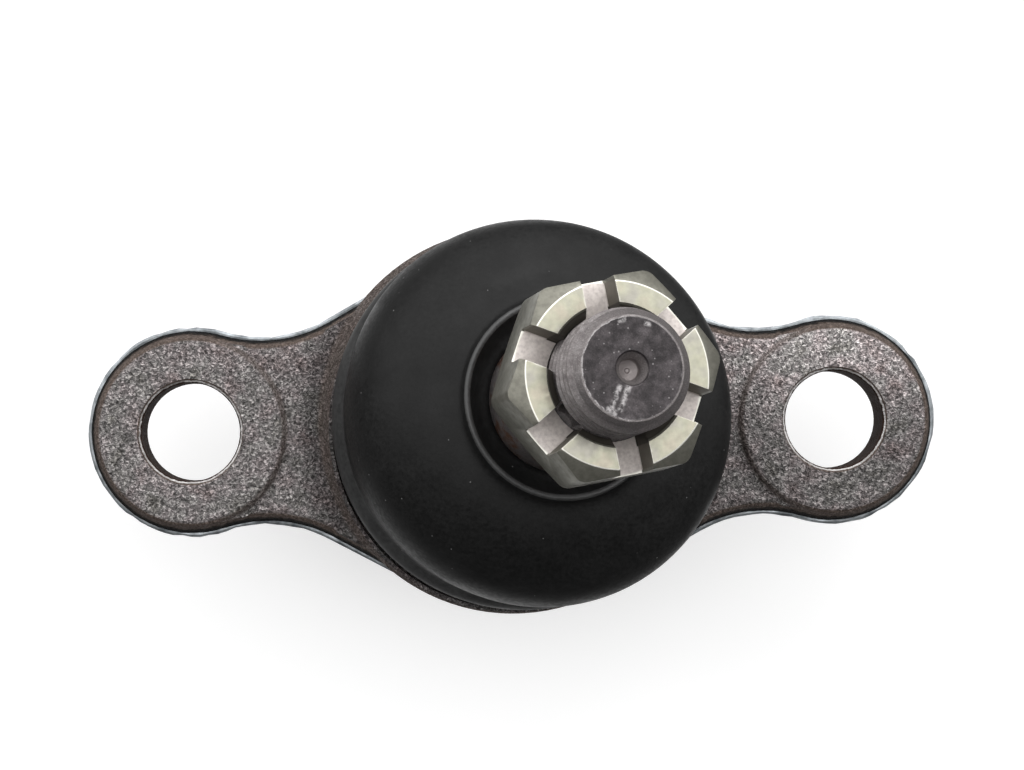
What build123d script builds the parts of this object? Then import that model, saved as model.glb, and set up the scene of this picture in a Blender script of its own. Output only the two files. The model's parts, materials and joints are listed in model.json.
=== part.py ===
from build123d import *
import os
from math import atan2, atan, cos, degrees, hypot, radians, sin, sqrt, tan

# Suspension ball joint: a forged housing that bolts on by two lugs, a ball stud in a
# preloaded plastic seat, a dust boot and a slotted nut. The stud leans to one side.
# Millimetres. +X runs along the two bolt holes, +Z out of the stud side. The origin is
# midway between the bolt holes, on the mounting face under the lugs.

# ---- driving dimensions: housing ----------------------------------------------------
bolt_spacing = 80.0        # between the two bolt holes
bolt_hole_r = 6.1          # clearance for an M12 bolt
lug_r = 12.75              # outline of a lug at the parting plane
lug_height = 9.0           # machined boss face to machined boss face
web_height = 6.8           # as-forged thickness between lugs and body
draft = 15.0               # forging draft, degrees
flank_angle = 29.0         # how steeply the web widens towards the body, degrees
flank_r = 22.9             # circle that the four flanks run into
waist_r = 17.0             # concave outline between lug and flank
edge_r = 1.1               # rounding of the web's edges
lug_edge_r = 0.8           # rounding of the lugs' faces
body_offset = 0.6          # from the line of the bolt holes to the body's axis, towards +Y
collar_r = 24.0            # foot of the sloping collar round the boot's seat
rim_r = 22.8               # thin machined rim round the boot's seat
rim_wall = 0.45
rim_offset = -0.2          # the rim's axis, measured like body_offset
groove_width = 0.8         # groove inside the rim
cup_r = 21.0               # cup under the flange
cup_bottom = -20.5         # heights from here on are above the ball's centre
collar_top = 6.0           # face that the boot sits on
rim_top = 7.0
neck_top = 9.5
neck_outer_r = 19.0        # neck that carries the boot's base ring
mouth_r = 12.3             # narrowest part of the opening
crimp_r = 16.0             # rim rolled over the bottom cover

# ---- driving dimensions: ball, seats and cover ---------------------------------------
ball_r = 13.5
ball_flat = -11.8
play = 0.03                # running clearance between ball and seats
fit_gap = 0.05             # clearance between pieces that are fitted into each other
seat_r = 16.4
seat_top = 7.3
seat_bottom = -15.1
spring_height = 1.75
spring_sheet = 0.9
cover_r = 17.6
cover_top = -17.0
cover_sheet = 2.4

# ---- driving dimensions: stud, along its own line ------------------------------------
neck_r = 6.5
shank_r = 8.6              # big end of the taper, where the boot's lip seals
shank_start = 18.6
taper_start = 24.8
taper_end = 36.0
taper_ratio = 1 / 8        # diameter over length
relief_r = 6.0
thread_r = 7.0             # M14 x 1.5
thread_start = 37.6
stud_end = 53.4
stud_end_r = 5.75
cotter_hole_r = 1.7

# ---- driving dimensions: nut ---------------------------------------------------------
nut_flats = 22.0           # across flats
nut_bottom = 37.8
nut_top = 47.6
nut_chamfer_r = 10.5
nut_countersink_r = 8.1
slot_width = 3.9
slot_depth = 4.3
nut_turn = 10.0            # angle of a hexagon corner from +X, degrees

# ---- driving dimensions: boot --------------------------------------------------------
dome_r = 23.8              # widest circle of the domed shell
bead_r = 23.4              # bead that overhangs the rim
crease_r = 22.7            # crease between bead and shell
crease_height = 10.2
foot_r = 21.3              # boot's foot, inside the rim
boot_turn = 13.0           # how far the boot's folds stay behind the stud's way, degrees
boot_wall = 1.8
ring_sheet = 0.8
lip_r = 12.2               # upstanding rim at the boot's mouth
lip_top = 25.3

# ---- driving dimensions: where the stud lies -----------------------------------------
lean_x = 13.0              # lean towards +X, degrees
lean_y = 5.9               # lean towards +Y, degrees

# ---- worked-out values ---------------------------------------------------------------
ball_z = lug_height / 2                    # the ball's centre is in the parting plane
rise_x = tan(radians(lean_x))
rise_y = tan(radians(lean_y))
lean = degrees(atan(hypot(rise_x, rise_y)))
lean_way = degrees(atan2(rise_y, rise_x))
upright = Pos(0, body_offset, ball_z)
cover_bottom = cover_top - cover_sheet
shoulder_height = 4.2                      # where the upper seat starts to close in
shoulder_r = 13.5                          # and how far it closes in
ball_mouth_r = sqrt((ball_r + play) ** 2 - seat_top ** 2)


# ---- helpers -------------------------------------------------------------------------
def leaning(share=1.0):
    """Place for a piece drawn round the ball's centre that takes a share of the lean."""
    return upright * Rot(Z=lean_way) * Rot(Y=lean * share) * Rot(Z=-lean_way)


def boot_ring(height, radius, shift, tip):
    """Circle round the boot, carried sideways and tipped by shares of the stud's lean."""
    across = height * sin(radians(lean)) * shift
    rise = height * cos(radians(lean * shift))
    behind = boot_turn * (1 - tip)
    centre = upright * Rot(Z=lean_way - behind) * Pos(across, 0, rise) * Rot(Z=behind)
    return centre * Rot(Y=lean * tip) * Rot(Z=-lean_way) * Circle(radius)


def turned(*outline):
    """Solid turned about Z from corners (radius, height) or (radius, height, rounding)."""
    face = make_face(Polyline(*[corner[:2] for corner in outline], close=True))
    for corner in outline:
        if len(corner) == 3:
            vertex = face.vertices().sort_by_distance((corner[0], corner[1], 0))[0]
            face = fillet(vertex, corner[2])
    return revolve(Plane.XZ * face, Axis.Z)


def foot(radius, height, rounding, way, slope):
    """Ring that rounds the inner corner where a wall rises (or drops) from the web."""
    reach = rounding * 1.2
    return turned(
        (radius - 2, height - way * rounding / 2),
        (radius - 2, height + way * reach),
        (radius - slope * reach, height + way * reach),
        (radius, height, rounding * 1.1),
        (radius + reach, height),
        (radius + reach, height - way * rounding / 2),
    )


# ---- housing -------------------------------------------------------------------------
def flange_plan():
    """Outline of the forging at its parting plane: body, two widening webs, two lugs."""
    reach = flank_r / sin(radians(flank_angle))
    tangent_x = flank_r * sin(radians(flank_angle))
    tangent_y = flank_r * cos(radians(flank_angle))
    webs = make_face(Polyline(
        (reach, 0), (tangent_x, tangent_y), (-tangent_x, tangent_y),
        (-reach, 0), (-tangent_x, -tangent_y), (tangent_x, -tangent_y), close=True))
    lugs = [Pos(side * bolt_spacing / 2, 0) * Circle(lug_r) for side in (-1, 1)]
    plan = Circle(flank_r) + webs + lugs
    waists = plan.vertices().filter_by(
        lambda v: lug_r < abs(v.X) < bolt_spacing / 2 + lug_r - 0.1 and abs(v.Y) > 1)
    return fillet(waists, waist_r)


def room(way):
    """Space within the forging's drafted walls, above or below the parting plane."""
    return extrude(flange_plan(), amount=way * lug_height, taper=draft)


def drafted(plan, height, rounding):
    """Slab from the parting plane up or down to a height, with its far edge rounded."""
    half = extrude(plan, amount=height, taper=draft)
    face = half.faces().sort_by(Axis.Z)[-1 if height > 0 else 0]
    return fillet(face.edges(), rounding)


def flange():
    """Drafted both ways from the parting plane, with thicker lugs and rounded edges."""
    level = web_height / 2
    step_r = lug_r - level * tan(radians(draft)) - 0.05
    solid = Part()
    for way in (1, -1):
        lug = drafted(Circle(lug_r), way * lug_height / 2, lug_edge_r)
        step = foot(step_r, way * level, 0.6, way, 0.3)
        solid += drafted(flange_plan(), way * level, edge_r)
        for side in (-1, 1):
            place = Pos(side * bolt_spacing / 2, 0, 0)
            solid += place * lug
            solid += place * step & room(way)
    return solid


def boot_seat():
    """What is machined off the collar: the boot's seat with a groove inside the rim."""
    inside = rim_r - rim_wall
    pocket = Pos(0, rim_offset) * turned(
        (0, collar_top), (inside - groove_width, collar_top),
        (inside - groove_width, collar_top - 1), (inside, collar_top - 1),
        (inside, rim_top + 1), (0, rim_top + 1))
    neck = Pos(0, body_offset, collar_top) * Cylinder(neck_outer_r, 10)
    return pocket - neck


def housing():
    """Cup, collar and neck in one forging with the flange, bored from below."""
    level = web_height / 2
    body = turned(
        (0, cup_bottom), (cup_r - 1.2, cup_bottom, 1.4), (cup_r - 0.9, cup_bottom + 4.4),
        (cup_r, -level), (collar_r, 1.0, 1.5), (collar_r, level, 1.0),
        (collar_r - 1.8, rim_top),
        (neck_outer_r, rim_top), (neck_outer_r, neck_top, 0.8), (0, neck_top))
    rim = turned((neck_outer_r, 0), (rim_r, 0), (rim_r, rim_top), (neck_outer_r, rim_top))
    aside = Pos(0, body_offset, 0)
    solid = flange() + aside * body + Pos(0, rim_offset) * rim
    solid += aside * foot(collar_r, level, 1.6, 1, 0.5) & room(1)
    solid += aside * foot(cup_r, -level, 2.5, -1, 0.08) & room(-1)
    solid -= boot_seat()
    bore_r = seat_r + fit_gap
    solid -= aside * turned(
        (0, cup_bottom - 1), (crimp_r, cup_bottom - 1), (crimp_r, cover_bottom - fit_gap),
        (cover_r + fit_gap, cover_bottom - fit_gap), (cover_r + fit_gap, cover_top),
        (bore_r, cover_top), (bore_r, shoulder_height + fit_gap),
        (shoulder_r + fit_gap, seat_top + fit_gap), (mouth_r, seat_top + fit_gap),
        (mouth_r, seat_top + 0.8, 0.5), (mouth_r + 1.6, neck_top + 0.5), (0, neck_top + 0.5))
    hole = turned(
        (0, -lug_height), (bolt_hole_r + 5, -lug_height), (bolt_hole_r, -lug_height / 2 + 0.5),
        (bolt_hole_r, lug_height / 2 - 0.5), (bolt_hole_r + 5, lug_height), (0, lug_height))
    for side in (-1, 1):
        solid -= Pos(side * bolt_spacing / 2, 0) * hole
    return Pos(0, 0, ball_z) * solid


# ---- seats, spring and cover ---------------------------------------------------------
def upper_seat():
    """Plastic ring that the ball bears against when the joint is pulled apart."""
    ring = turned(
        (mouth_r - 0.6, 0.2), (seat_r, 0.2, 0.2), (seat_r, shoulder_height),
        (shoulder_r, seat_top), (ball_mouth_r - 0.3, seat_top), (ball_mouth_r - 0.3, 0.2))
    return upright * (ring - Sphere(ball_r + play))


def lower_seat():
    """Plastic bowl under the ball, slit so that it can close up as it wears."""
    bowl = turned(
        (0, seat_bottom), (seat_r - 0.8, seat_bottom), (seat_r, seat_bottom + 0.8),
        (seat_r, -0.2, 0.2), (0, -0.2))
    bowl -= Sphere(ball_r + play)
    bowl -= Pos(0, 0, seat_bottom) * Cylinder(5.0, 8)
    for turn in range(0, 360, 60):
        bowl -= Rot(Z=turn) * Pos(seat_r, 0, -4) * Box(8, 1.0, 8)
    return upright * bowl


def preload_spring():
    """Disc spring between the cover and the lower seat."""
    low = cover_top + fit_gap
    high = low + spring_height
    return upright * turned(
        (seat_r - 0.6, low), (seat_r - 0.6, low + spring_sheet),
        (6.5, high), (6.5, high - spring_sheet))


def bottom_cover():
    """Pressed steel disc with a stiffening dish, held by the housing's rolled rim."""
    return upright * turned(
        (0, cover_bottom + 1.2), (8.5, cover_bottom + 1.2, 1.0), (10.5, cover_bottom, 1.0),
        (cover_r, cover_bottom), (cover_r, cover_top), (6.0, cover_top, 1.0),
        (5.0, cover_top - 0.3, 1.0), (0, cover_top - 0.3))


# ---- boot and its rings --------------------------------------------------------------
def boot_base_ring(gap=0.0):
    """Steel ring moulded into the boot's base and pressed over the housing's neck."""
    inside = neck_outer_r + 0.02
    low = collar_top + fit_gap
    return upright * turned(
        (inside - gap, low - gap), (inside + 1.9 + gap, low - gap),
        (inside + 1.9 + gap, low + ring_sheet + gap),
        (inside + ring_sheet + gap, low + ring_sheet + gap),
        (inside + ring_sheet + gap, neck_top - 0.9 + gap), (inside - gap, neck_top - 0.9 + gap))


def boot_lip_ring(gap=0.0):
    """Steel ring in the lip's root that keeps the lip tight on the stud."""
    inside = shank_r + 1.1 - gap
    outside = shank_r + 2.1 + gap
    return leaning() * turned(
        (inside, 20.9 - gap), (outside, 20.9 - gap), (outside, 21.9 + gap), (inside, 21.9 + gap))


def bead():
    """Thick lower end of the boot: a foot inside the rim, and a fold out over the rim."""
    over_rim = rim_top + 0.25
    foot_ring = upright * Pos(0, 0, collar_top + 0.1) * extrude(Circle(foot_r), amount=2.4)
    fold = loft([
        boot_ring(over_rim, bead_r - 1.2, 0.45, 0.0),
        boot_ring(over_rim + 0.8, bead_r - 0.15, 0.55, 0.03),
        boot_ring(over_rim + 1.6, bead_r, 0.6, 0.08),
        boot_ring(crease_height, crease_r, 0.75, 0.2),
    ])
    return foot_ring + fold


def dome():
    """Domed shell above the crease, bent a step further at each ring towards the lip."""
    return loft([
        boot_ring(crease_height, crease_r, 0.75, 0.2),
        boot_ring(11.6, dome_r - 0.3, 0.82, 0.3),
        boot_ring(13.8, dome_r, 0.88, 0.4),
        boot_ring(15.8, dome_r - 0.4, 0.91, 0.5),
        boot_ring(17.5, dome_r - 1.1, 0.94, 0.61),
        boot_ring(19.1, dome_r - 2.2, 0.96, 0.73),
        boot_ring(20.5, dome_r - 3.7, 0.98, 0.83),
        boot_ring(22.2, dome_r - 6.7, 1.0, 0.95),
        boot_ring(23.2, dome_r - 9.2, 1.0, 1.0),
        boot_ring(24.1, dome_r - 11.8, 1.0, 1.0),
    ])


def boot_hollow():
    """Space inside the boot, one wall in from its outside."""
    inside_r = dome_r - boot_wall
    return loft([
        boot_ring(collar_top + 0.1, neck_outer_r + ring_sheet + 0.07, 0.0, 0.0),
        boot_ring(9.6, neck_outer_r + 1.8, 0.45, 0.1),
        boot_ring(13.8, inside_r, 0.88, 0.4),
        boot_ring(15.8, inside_r - 0.6, 0.91, 0.5),
        boot_ring(17.6, inside_r - 1.8, 0.94, 0.65),
        boot_ring(19.2, inside_r - 3.8, 0.97, 0.8),
        boot_ring(20.6, inside_r - 6.6, 1.0, 0.95),
        boot_ring(21.6, inside_r - 9.6, 1.0, 1.0),
        boot_ring(22.1, inside_r - 11.8, 1.0, 1.0),
    ])


def dust_boot():
    """Rubber boot: bead, domed shell, and a lip with an upstanding rim."""
    lip = leaning() * turned(
        (shank_r + 0.1, 20.2), (lip_r - 1.2, 20.2, 0.6), (lip_r, 23.4), (lip_r, lip_top, 0.35),
        (lip_r - 0.8, lip_top, 0.35), (lip_r - 2.0, 23.2, 0.6), (shank_r + 0.5, 22.6),
        (shank_r + 0.1, 22.2))
    shell = bead() + dome() - boot_hollow()
    shell -= leaning() * Pos(0, 0, 25) * Cylinder(lip_r - 0.9, 12)
    return shell + lip - boot_base_ring(0.02) - boot_lip_ring(0.03)


# ---- stud and nut --------------------------------------------------------------------
def ball_stud():
    """Ball, waisted neck, sealing shank, taper and threaded end with a pin hole."""
    small_end_r = shank_r - (taper_end - taper_start) * taper_ratio / 2
    shank = turned(
        (0, 0), (neck_r, 0), (neck_r, 15.0, 3.0), (shank_r, shank_start, 1.5),
        (shank_r, taper_start), (small_end_r, taper_end), (relief_r, taper_end + 0.8, 0.5),
        (relief_r, thread_start - 0.8), (thread_r, thread_start),
        (thread_r, stud_end - 1.3), (stud_end_r, stud_end), (2.0, stud_end),
        (1.0, stud_end - 1.2), (1.0, stud_end - 3.0), (0, stud_end - 3.6))
    ball = Sphere(ball_r) - Pos(0, 0, ball_flat - 5) * Cylinder(ball_r, 10)
    ball -= Pos(0, 0, ball_flat) * Cone(1.2, 2.6, 1.4)
    pin_hole = Pos(0, 0, nut_top - slot_depth / 2) * Rot(Z=nut_turn + 30) * Rot(Y=90)
    stud = ball + shank - pin_hole * Cylinder(cotter_hole_r, 3 * thread_r)
    return leaning() * stud


def castle_nut():
    """Hexagon with six slots, one in the middle of each flat."""
    blank = extrude(
        RegularPolygon(nut_flats / 2, 6, major_radius=False, rotation=nut_turn),
        amount=nut_top - nut_bottom)
    corner_r = nut_flats / sqrt(3) + 0.2
    drop = (corner_r - nut_chamfer_r) * tan(radians(30))
    height = nut_top - nut_bottom
    blank &= turned(
        (0, 0), (nut_chamfer_r, 0), (corner_r, drop), (corner_r, height - drop),
        (nut_chamfer_r, height), (0, height))
    sink = nut_countersink_r - thread_r
    bore_r = thread_r + fit_gap
    blank -= turned(
        (0, -1), (bore_r + sink + 1, -1), (bore_r, sink), (bore_r, height - sink),
        (bore_r + sink + 1, height + 1), (0, height + 1))
    for turn in range(0, 180, 60):
        blank -= (Rot(Z=nut_turn + 30 + turn) * Pos(0, 0, height - slot_depth / 2 + 1)
                  * Box(3 * nut_flats, slot_width, slot_depth + 2))
    return leaning() * Pos(0, 0, nut_bottom) * blank


pieces = (housing, upper_seat, lower_seat, preload_spring, bottom_cover,
          boot_base_ring, dust_boot, boot_lip_ring, ball_stud, castle_nut)
os.makedirs("parts", exist_ok=True)
for piece in pieces:
    export_step(piece(), f"parts/{piece.__name__}.step")
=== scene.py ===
import json
from math import atan2, cos, pi, radians, sin, sqrt, tan

import bmesh
import bpy
from mathutils import Matrix, Vector, noise

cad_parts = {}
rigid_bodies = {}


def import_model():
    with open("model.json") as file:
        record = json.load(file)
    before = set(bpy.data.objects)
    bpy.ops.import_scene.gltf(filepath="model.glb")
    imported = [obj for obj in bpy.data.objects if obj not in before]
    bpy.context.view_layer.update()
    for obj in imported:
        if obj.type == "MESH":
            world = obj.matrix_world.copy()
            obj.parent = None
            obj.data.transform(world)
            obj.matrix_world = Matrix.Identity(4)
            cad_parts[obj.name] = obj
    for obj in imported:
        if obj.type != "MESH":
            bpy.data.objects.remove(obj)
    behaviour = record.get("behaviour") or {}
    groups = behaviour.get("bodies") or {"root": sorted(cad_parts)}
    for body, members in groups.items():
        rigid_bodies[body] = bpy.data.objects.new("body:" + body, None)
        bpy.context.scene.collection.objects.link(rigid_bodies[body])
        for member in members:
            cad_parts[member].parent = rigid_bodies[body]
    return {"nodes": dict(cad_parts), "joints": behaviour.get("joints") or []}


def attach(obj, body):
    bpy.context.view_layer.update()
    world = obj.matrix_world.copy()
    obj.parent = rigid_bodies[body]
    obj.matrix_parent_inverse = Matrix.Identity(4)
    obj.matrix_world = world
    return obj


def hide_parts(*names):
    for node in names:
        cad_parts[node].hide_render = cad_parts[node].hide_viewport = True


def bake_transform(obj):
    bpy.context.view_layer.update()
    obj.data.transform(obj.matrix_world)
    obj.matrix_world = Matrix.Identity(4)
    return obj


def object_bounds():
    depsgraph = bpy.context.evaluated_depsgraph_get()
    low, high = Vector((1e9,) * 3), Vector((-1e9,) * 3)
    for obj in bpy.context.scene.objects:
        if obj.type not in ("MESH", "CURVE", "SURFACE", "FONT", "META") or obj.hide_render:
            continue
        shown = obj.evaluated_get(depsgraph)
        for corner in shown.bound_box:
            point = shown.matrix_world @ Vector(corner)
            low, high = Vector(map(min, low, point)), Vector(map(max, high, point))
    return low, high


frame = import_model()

cad_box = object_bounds()
MM = 0.001

# Suspension ball joint, in metres. Heights and radii of turned pieces are written in
# millimetres about the ball's centre, before the piece is set on the leaning line.

# ---- places taken from the frame -------------------------------------------------------
joint_of = {joint["name"]: joint for joint in frame["joints"]}
ball = Vector(joint_of["stud_spin"]["pos_m"])
stud_line = Vector(joint_of["stud_spin"]["axis"])
lean = stud_line.angle(Vector((0, 0, 1)))
lean_way = atan2(stud_line.y, stud_line.x)
PARTING = ball.z                         # height of the forging's parting plane

# ---- sizes of the visible pieces, millimetres ------------------------------------------
BOLT_SPACING = 80.0
HOLE_R = 6.1

BALL_R = 13.5
BALL_FLAT = 11.7                         # how far below its centre the ball ends
NECK_R = 6.5
SHANK_R = 8.6
SHANK_START = 18.6
TAPER_START = 24.8
TAPER_END = 36.0
TAPER_END_R = 7.9
RELIEF_R = 6.0
THREAD_R = 7.0
THREAD_START = 37.6
THREAD_PITCH = 1.5
THREAD_DEPTH = 0.6134                    # share of the pitch
THREAD_MOUTH = 7 / 16                    # half of the groove's width at the crests, share of the pitch
THREAD_ROOM = 0.15                       # how far the cutter stands out past the crests
STUD_END = 53.4
STUD_END_R = 5.75
PIN_HOLE_R = 1.7
CENTRE_HOLE = ((1.95, 0.0, 0.15), (1.25, 1.1, 0.15), (1.2, 2.0, 0.2),
               (0.35, 2.35, 0.1), (0.2, 2.2), (0, 2.2))     # radius, depth, rounding
SCRATCHES = (((-1.4, -1.7), (-2.7, -4.7), 0.42), ((-0.5, -1.8), (-1.7, -4.9), 0.48),
             ((-3.3, -4.4), (-1.8, -5.0), 0.45), ((-1.6, 5.1), (-0.4, 5.3), 0.35),
             ((1.4, 5.0), (2.4, 4.7), 0.35))

NUT_FLATS = 22.0
NUT_BOTTOM = 37.8
NUT_TOP = 47.6
NUT_CHAMFER_R = 10.5
NUT_SINK_R = 8.1
NUT_CORNER_EDGE = 0.75
NUT_EDGE = 0.13
BORE_GAP = 0.05
BORE_MOUTH = 1.05                        # how far the countersink's cutter opens past its edge
CUTTER_ROOM = 0.2                        # how far the chamfer's tool stands out past the corners
SLOT_WIDTH = 3.9
SLOT_SPREAD = 0.1                        # how much each pair of slots differs in width
SLOT_DEPTH = 4.3
SLOT_EDGE = 0.3
NUT_TURN = 10.0                          # a corner's angle from +X, degrees
HALF_SIDE = 30.0                         # half of the angle a hexagon's side takes, degrees

FLASH_R = 0.36
FLASH_SWELLS = ((420, 0.55), (1300, 0.40))     # waves per metre, share of the thickness
FLASH_WAVES = ((900, 0.12), (2600, 0.09))      # waves per metre, share of the height
FLASH_CUP_R = 20.0                       # nothing nearer the axis than this is flash


# ---- modelling helpers -----------------------------------------------------------------
def put_down():
    """Leaves edit mode with nothing selected."""
    if bpy.context.mode != "OBJECT":
        bpy.ops.object.mode_set(mode="OBJECT")
    bpy.ops.object.select_all(action="DESELECT")


def pick(piece):
    """Makes the piece the only selected one, and the active one."""
    put_down()
    piece.select_set(True)
    bpy.context.view_layer.objects.active = piece


def modify(piece, kind, **settings):
    """Adds a modifier with these settings and applies it."""
    pick(piece)
    modifier = piece.modifiers.new(kind.lower(), kind)
    for name, value in settings.items():
        setattr(modifier, name, value)
    bpy.ops.object.modifier_apply(modifier=modifier.name)


def cut(piece, tool, operation="DIFFERENCE"):
    """Cuts the piece with another one, which is used up."""
    modify(piece, "BOOLEAN", operation=operation, object=tool, solver="EXACT")
    bpy.data.objects.remove(tool, do_unlink=True)


def choose(piece, test, kind="FACE"):
    """In edit mode, selects the faces, edges or corners that pass the test."""
    bpy.ops.mesh.select_mode(type=kind)
    bpy.ops.mesh.select_all(action="DESELECT")
    mesh = bmesh.from_edit_mesh(piece.data)
    parts = {"FACE": mesh.faces, "EDGE": mesh.edges, "VERT": mesh.verts}[kind]
    for part in parts:
        part.select_set(test(part))
    mesh.select_flush_mode()
    bmesh.update_edit_mesh(piece.data)


def rounded(corners, steps=5):
    """Outline of (radius, height) with an arc at each corner that names a rounding."""
    outline = []
    for k, corner in enumerate(corners):
        here = Vector(corner[:2])
        if len(corner) == 2:
            outline.append(here)
            continue
        back = (Vector(corners[k - 1][:2]) - here).normalized()
        ahead = (Vector(corners[(k + 1) % len(corners)][:2]) - here).normalized()
        radius = corner[2]
        half = back.angle(ahead) / 2
        centre = here + (back + ahead).normalized() * radius / sin(half)
        first = (here + back * radius / tan(half) - centre).normalized()
        last = (here + ahead * radius / tan(half) - centre).normalized()
        outline += [centre + first.slerp(last, step / steps) * radius
                    for step in range(steps + 1)]
    return outline


def turn(name, corners, steps=96):
    """Piece turned on a lathe: the outline is drawn corner by corner and spun."""
    put_down()
    bpy.ops.mesh.primitive_plane_add(size=MM)
    piece = bpy.context.object
    piece.name = name
    bpy.ops.object.mode_set(mode="EDIT")
    bpy.ops.mesh.select_mode(type="VERT")
    bpy.ops.mesh.select_all(action="SELECT")
    bpy.ops.mesh.merge(type="CENTER")
    at = Vector((0, 0, 0))
    for count, (radius, height) in enumerate(rounded(corners)):
        step = Vector((radius * MM, 0, height * MM)) - at
        if count == 0:
            bpy.ops.transform.translate(value=step)
        else:
            bpy.ops.mesh.extrude_region_move(TRANSFORM_OT_translate={"value": step})
        at = at + step
    bpy.ops.mesh.select_all(action="SELECT")
    bpy.ops.mesh.spin(steps=steps, angle=2 * pi, center=(0, 0, 0), axis=(0, 0, 1))
    bpy.ops.mesh.select_all(action="SELECT")
    bpy.ops.mesh.remove_doubles(threshold=2e-6)
    bpy.ops.mesh.normals_make_consistent(inside=False)
    bpy.ops.object.mode_set(mode="OBJECT")
    return piece


def tipped(share=1.0):
    """Turn that tips a piece towards the lean by a share of it."""
    return (Matrix.Rotation(lean_way, 4, "Z") @ Matrix.Rotation(lean * share, 4, "Y")
            @ Matrix.Rotation(-lean_way, 4, "Z"))


leaning = Matrix.Translation(ball) @ tipped()


def settle(piece, material, body, slot, *stands_for, place=None, smooth=35.0):
    """Sets a finished piece in its place and gives it its finish and its body."""
    if place is not None:
        piece.data.transform(place)
    pick(piece)
    bpy.ops.object.shade_smooth_by_angle(angle=radians(smooth))
    piece.data.materials.clear()
    piece.data.materials.append(material)
    if stands_for:
        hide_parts(*stands_for)
    if body:
        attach(piece, body)


# ---- material helpers ------------------------------------------------------------------
class Finish:
    """A material's nodes, with short names for what the finishes below share."""

    def __init__(self, name, place=None, **fixed):
        self.material = bpy.data.materials.new(name)
        self.material.use_nodes = True
        self.tree = self.material.node_tree
        self.shader = self.tree.nodes["Principled BSDF"]
        for socket, value in fixed.items():
            self.shader.inputs[socket.replace("_", " ")].default_value = value
        self.where = self.tree.nodes.new("ShaderNodeTexCoord")
        self.point = self.where.outputs["Object"]
        self.normal = self.where.outputs["Normal"]
        if place is not None:
            back = place.inverted()
            self.point = self.mapped(self.point, back.to_translation(), back.to_euler())
            self.normal = self.mapped(self.normal, (0, 0, 0), back.to_euler())

    def link(self, value, socket):
        """Sets a socket to a plain value or links it to another node's socket."""
        if isinstance(value, bpy.types.NodeSocket):
            self.tree.links.new(value, socket)
        else:
            socket.default_value = value

    def mapped(self, point, move, turned, scale=(1, 1, 1)):
        """The point or direction after it is scaled, turned and moved."""
        node = self.tree.nodes.new("ShaderNodeMapping")
        self.link(point, node.inputs["Vector"])
        node.inputs["Location"].default_value = move
        node.inputs["Rotation"].default_value = turned
        node.inputs["Scale"].default_value = scale
        return node.outputs["Vector"]

    def noise(self, size, detail=2.0, rough=0.5, stretch=(1, 1, 1), curl=0.0):
        """Noise whose blotches are about size across, in metres. Runs from 0 to 1."""
        node = self.tree.nodes.new("ShaderNodeTexNoise")
        scaled = self.mapped(self.point, (0, 0, 0), (0, 0, 0), stretch)
        self.link(scaled, node.inputs["Vector"])
        node.inputs["Scale"].default_value = 1 / size
        node.inputs["Detail"].default_value = detail
        node.inputs["Roughness"].default_value = rough
        node.inputs["Distortion"].default_value = curl
        return node.outputs["Fac"]

    def cells(self, size):
        """Distance to the nearest of scattered places that are about size apart."""
        node = self.tree.nodes.new("ShaderNodeTexVoronoi")
        self.link(self.point, node.inputs["Vector"])
        node.inputs["Scale"].default_value = 1 / size
        return node.outputs["Distance"]

    def math(self, operation, *values):
        node = self.tree.nodes.new("ShaderNodeMath")
        node.operation = operation
        for value, socket in zip(values, node.inputs):
            self.link(value, socket)
        return node.outputs[0]

    def distance(self, first, second):
        """Length of the two lengths at right angles to each other."""
        squares = [self.math("MULTIPLY", length, length) for length in (first, second)]
        return self.math("SQRT", self.math("ADD", *squares))

    def step(self, value, low, high, bottom=0.0, top=1.0):
        """Smooth step of a value from bottom at low to top at high."""
        node = self.tree.nodes.new("ShaderNodeMapRange")
        node.interpolation_type = "SMOOTHSTEP"
        for socket, amount in zip(node.inputs, (value, low, high, bottom, top)):
            self.link(amount, socket)
        return node.outputs[0]

    def split(self, vector):
        node = self.tree.nodes.new("ShaderNodeSeparateXYZ")
        self.link(vector, node.inputs[0])
        return node.outputs

    def shades(self, value, *stops):
        """Colour ramp through (position, grey or colour) stops."""
        node = self.tree.nodes.new("ShaderNodeValToRGB")
        elements = node.color_ramp.elements
        while len(elements) < len(stops):
            elements.new(0.5)
        for element, (position, colour) in zip(elements, stops):
            colour = (colour,) * 3 if isinstance(colour, float) else colour
            element.position = position
            element.color = (*colour, 1)
        self.link(value, node.inputs[0])
        return node.outputs[0]

    def mix(self, share, first, second, way="MIX"):
        node = self.tree.nodes.new("ShaderNodeMix")
        node.data_type = "RGBA"
        node.blend_type = way
        colours = [(*c, 1) if isinstance(c, tuple) else c for c in (first, second)]
        self.link(share, node.inputs[0])
        self.link(colours[0], node.inputs[6])
        self.link(colours[1], node.inputs[7])
        return node.outputs[2]

    def bumps(self, *layers):
        """Bump from (height value, depth in metres) layers, one over the other."""
        normal = None
        for height, depth in layers:
            node = self.tree.nodes.new("ShaderNodeBump")
            node.inputs["Distance"].default_value = depth
            self.link(height, node.inputs["Height"])
            if normal is not None:
                self.link(normal, node.inputs["Normal"])
            normal = node.outputs[0]
        self.link(normal, self.shader.inputs["Normal"])

    def colour(self, value):
        self.link(value, self.shader.inputs["Base Color"])

    def roughness(self, value):
        self.link(value, self.shader.inputs["Roughness"])

    def metallic(self, value):
        self.link(value, self.shader.inputs["Metallic"])


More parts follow.
